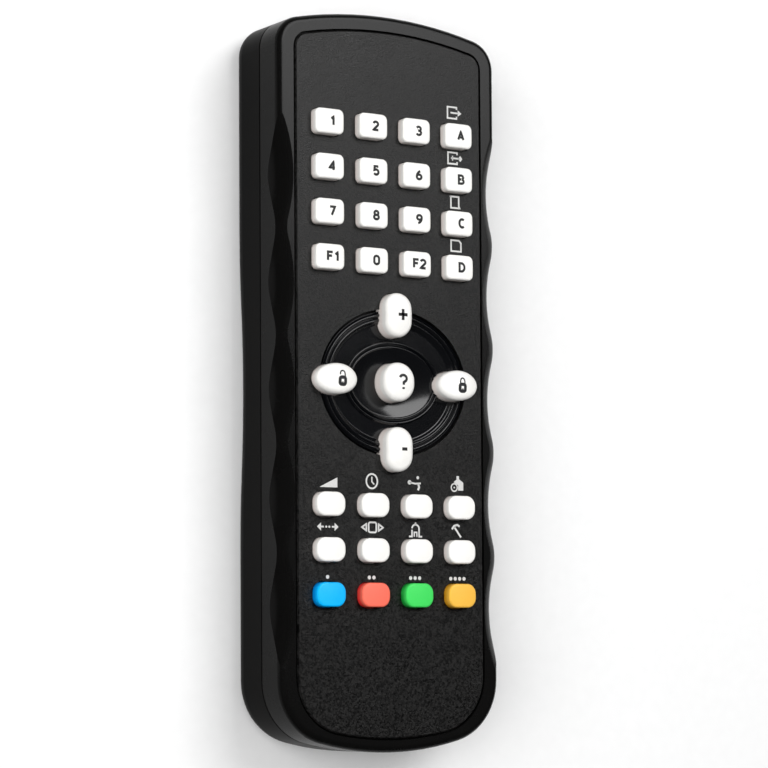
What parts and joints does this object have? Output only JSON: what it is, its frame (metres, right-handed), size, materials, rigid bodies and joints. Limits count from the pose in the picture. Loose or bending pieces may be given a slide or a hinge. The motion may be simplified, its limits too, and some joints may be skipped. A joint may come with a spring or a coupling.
{
  "type": "infrared hand controller",
  "caption": "Slim black hand-held infrared controller: scalloped two-part case, white number and function keys, oval direction pad, row of coloured keys, battery door in the back.",
  "frame": {"origin": "centre of the length and width, on the surface the back rests on", "axes": "+Z out of the keypad face, +Y towards the end the infrared beam leaves by, +X to the reader's right"},
  "size_m": [0.0582, 0.165, 0.0245],
  "materials": {
    "case_plastic": "moulded black plastic, low gloss",
    "plate_plastic": "fine grained dark grey",
    "pad_plastic": "polished blue-black",
    "key_white": "smooth white",
    "key_blue": "smooth blue",
    "key_red": "smooth red",
    "key_green": "smooth green",
    "key_yellow": "smooth amber yellow",
    "mat_rubber": "pale grey silicone",
    "board": "green solder mask on glass laminate",
    "chip_plastic": "black moulding compound",
    "can_metal": "bright nickel can",
    "capacitor_sleeve": "dark blue sleeve",
    "led_resin": "faintly blue clear resin",
    "window_plastic": "deep red, almost black",
    "cell_jacket": "printed jacket over a steel can",
    "contact_metal": "nickel plated spring strip and wire",
    "screw_steel": "zinc plated"
  },
  "bodies": {
    "housing": {"back_shell": "case_plastic", "battery_left": "cell_jacket", "battery_right": "cell_jacket", "bridge_contact": "contact_metal", "capacitor": "capacitor_sleeve", "case_screws": "screw_steel", "circuit_board": "board", "controller_chip": "chip_plastic", "face_plate": "plate_plastic", "ir_leds": "led_resin", "ir_window": "window_plastic", "keypad_mat": "mat_rubber", "negative_contact": "contact_metal", "pad_bezel": "pad_plastic", "positive_contact": "contact_metal", "resonator": "can_metal", "top_shell": "case_plastic"},
    "door": {"battery_door": "case_plastic"},
    "key_0": {"key_0": "key_white"},
    "key_1": {"key_1": "key_white"},
    "key_2": {"key_2": "key_white"},
    "key_3": {"key_3": "key_white"},
    "key_4": {"key_4": "key_white"},
    "key_5": {"key_5": "key_white"},
    "key_6": {"key_6": "key_white"},
    "key_7": {"key_7": "key_white"},
    "key_8": {"key_8": "key_white"},
    "key_9": {"key_9": "key_white"},
    "key_a": {"key_a": "key_white"},
    "key_b": {"key_b": "key_white"},
    "key_bell": {"key_bell": "key_white"},
    "key_blue": {"key_blue": "key_blue"},
    "key_c": {"key_c": "key_white"},
    "key_clock": {"key_clock": "key_white"},
    "key_d": {"key_d": "key_white"},
    "key_f1": {"key_f1": "key_white"},
    "key_f2": {"key_f2": "key_white"},
    "key_field": {"key_field": "key_white"},
    "key_green": {"key_green": "key_green"},
    "key_hinge": {"key_hinge": "key_white"},
    "key_hook": {"key_hook": "key_white"},
    "key_lock": {"key_lock": "key_white"},
    "key_minus": {"key_minus": "key_white"},
    "key_motor": {"key_motor": "key_white"},
    "key_plus": {"key_plus": "key_white"},
    "key_query": {"key_query": "key_white"},
    "key_ramp": {"key_ramp": "key_white"},
    "key_red": {"key_red": "key_red"},
    "key_unlock": {"key_unlock": "key_white"},
    "key_width": {"key_width": "key_white"},
    "key_yellow": {"key_yellow": "key_yellow"}
  },
  "joints": [
    {"name": "press_0", "type": "slide", "parent": "housing", "child": "key_0", "axis": [0, 0, -1], "range_m": [0, 0.001], "stiffness_N_per_m": 600},
    {"name": "press_1", "type": "slide", "parent": "housing", "child": "key_1", "axis": [0, 0, -1], "range_m": [0, 0.001], "stiffness_N_per_m": 600},
    {"name": "press_2", "type": "slide", "parent": "housing", "child": "key_2", "axis": [0, 0, -1], "range_m": [0, 0.001], "stiffness_N_per_m": 600},
    {"name": "press_3", "type": "slide", "parent": "housing", "child": "key_3", "axis": [0, 0, -1], "range_m": [0, 0.001], "stiffness_N_per_m": 600},
    {"name": "press_4", "type": "slide", "parent": "housing", "child": "key_4", "axis": [0, 0, -1], "range_m": [0, 0.001], "stiffness_N_per_m": 600},
    {"name": "press_5", "type": "slide", "parent": "housing", "child": "key_5", "axis": [0, 0, -1], "range_m": [0, 0.001], "stiffness_N_per_m": 600},
    {"name": "press_6", "type": "slide", "parent": "housing", "child": "key_6", "axis": [0, 0, -1], "range_m": [0, 0.001], "stiffness_N_per_m": 600},
    {"name": "press_7", "type": "slide", "parent": "housing", "child": "key_7", "axis": [0, 0, -1], "range_m": [0, 0.001], "stiffness_N_per_m": 600},
    {"name": "press_8", "type": "slide", "parent": "housing", "child": "key_8", "axis": [0, 0, -1], "range_m": [0, 0.001], "stiffness_N_per_m": 600},
    {"name": "press_9", "type": "slide", "parent": "housing", "child": "key_9", "axis": [0, 0, -1], "range_m": [0, 0.001], "stiffness_N_per_m": 600},
    {"name": "press_a", "type": "slide", "parent": "housing", "child": "key_a", "axis": [0, 0, -1], "range_m": [0, 0.001], "stiffness_N_per_m": 600},
    {"name": "press_b", "type": "slide", "parent": "housing", "child": "key_b", "axis": [0, 0, -1], "range_m": [0, 0.001], "stiffness_N_per_m": 600},
    {"name": "press_bell", "type": "slide", "parent": "housing", "child": "key_bell", "axis": [0, 0, -1], "range_m": [0, 0.001], "stiffness_N_per_m": 600},
    {"name": "press_blue", "type": "slide", "parent": "housing", "child": "key_blue", "axis": [0, 0, -1], "range_m": [0, 0.001], "stiffness_N_per_m": 600},
    {"name": "press_c", "type": "slide", "parent": "housing", "child": "key_c", "axis": [0, 0, -1], "range_m": [0, 0.001], "stiffness_N_per_m": 600},
    {"name": "press_clock", "type": "slide", "parent": "housing", "child": "key_clock", "axis": [0, 0, -1], "range_m": [0, 0.001], "stiffness_N_per_m": 600},
    {"name": "press_d", "type": "slide", "parent": "housing", "child": "key_d", "axis": [0, 0, -1], "range_m": [0, 0.001], "stiffness_N_per_m": 600},
    {"name": "press_f1", "type": "slide", "parent": "housing", "child": "key_f1", "axis": [0, 0, -1], "range_m": [0, 0.001], "stiffness_N_per_m": 600},
    {"name": "press_f2", "type": "slide", "parent": "housing", "child": "key_f2", "axis": [0, 0, -1], "range_m": [0, 0.001], "stiffness_N_per_m": 600},
    {"name": "press_field", "type": "slide", "parent": "housing", "child": "key_field", "axis": [0, 0, -1], "range_m": [0, 0.001], "stiffness_N_per_m": 600},
    {"name": "press_green", "type": "slide", "parent": "housing", "child": "key_green", "axis": [0, 0, -1], "range_m": [0, 0.001], "stiffness_N_per_m": 600},
    {"name": "press_hinge", "type": "slide", "parent": "housing", "child": "key_hinge", "axis": [0, 0, -1], "range_m": [0, 0.001], "stiffness_N_per_m": 600},
    {"name": "press_hook", "type": "slide", "parent": "housing", "child": "key_hook", "axis": [0, 0, -1], "range_m": [0, 0.001], "stiffness_N_per_m": 600},
    {"name": "press_lock", "type": "slide", "parent": "housing", "child": "key_lock", "axis": [0, 0, -1], "range_m": [0, 0.001], "stiffness_N_per_m": 600},
    {"name": "press_minus", "type": "slide", "parent": "housing", "child": "key_minus", "axis": [0, 0, -1], "range_m": [0, 0.001], "stiffness_N_per_m": 600},
    {"name": "press_motor", "type": "slide", "parent": "housing", "child": "key_motor", "axis": [0, 0, -1], "range_m": [0, 0.001], "stiffness_N_per_m": 600},
    {"name": "press_plus", "type": "slide", "parent": "housing", "child": "key_plus", "axis": [0, 0, -1], "range_m": [0, 0.001], "stiffness_N_per_m": 600},
    {"name": "press_query", "type": "slide", "parent": "housing", "child": "key_query", "axis": [0, 0, -1], "range_m": [0, 0.001], "stiffness_N_per_m": 600},
    {"name": "press_ramp", "type": "slide", "parent": "housing", "child": "key_ramp", "axis": [0, 0, -1], "range_m": [0, 0.001], "stiffness_N_per_m": 600},
    {"name": "press_red", "type": "slide", "parent": "housing", "child": "key_red", "axis": [0, 0, -1], "range_m": [0, 0.001], "stiffness_N_per_m": 600},
    {"name": "press_unlock", "type": "slide", "parent": "housing", "child": "key_unlock", "axis": [0, 0, -1], "range_m": [0, 0.001], "stiffness_N_per_m": 600},
    {"name": "press_width", "type": "slide", "parent": "housing", "child": "key_width", "axis": [0, 0, -1], "range_m": [0, 0.001], "stiffness_N_per_m": 600},
    {"name": "press_yellow", "type": "slide", "parent": "housing", "child": "key_yellow", "axis": [0, 0, -1], "range_m": [0, 0.001], "stiffness_N_per_m": 600},
    {"name": "door_swing", "type": "hinge", "parent": "housing", "child": "door", "pos_m": [0, -0.0761, 0], "axis": [-1, 0, 0], "range_deg": [0, 70]}
  ]
}
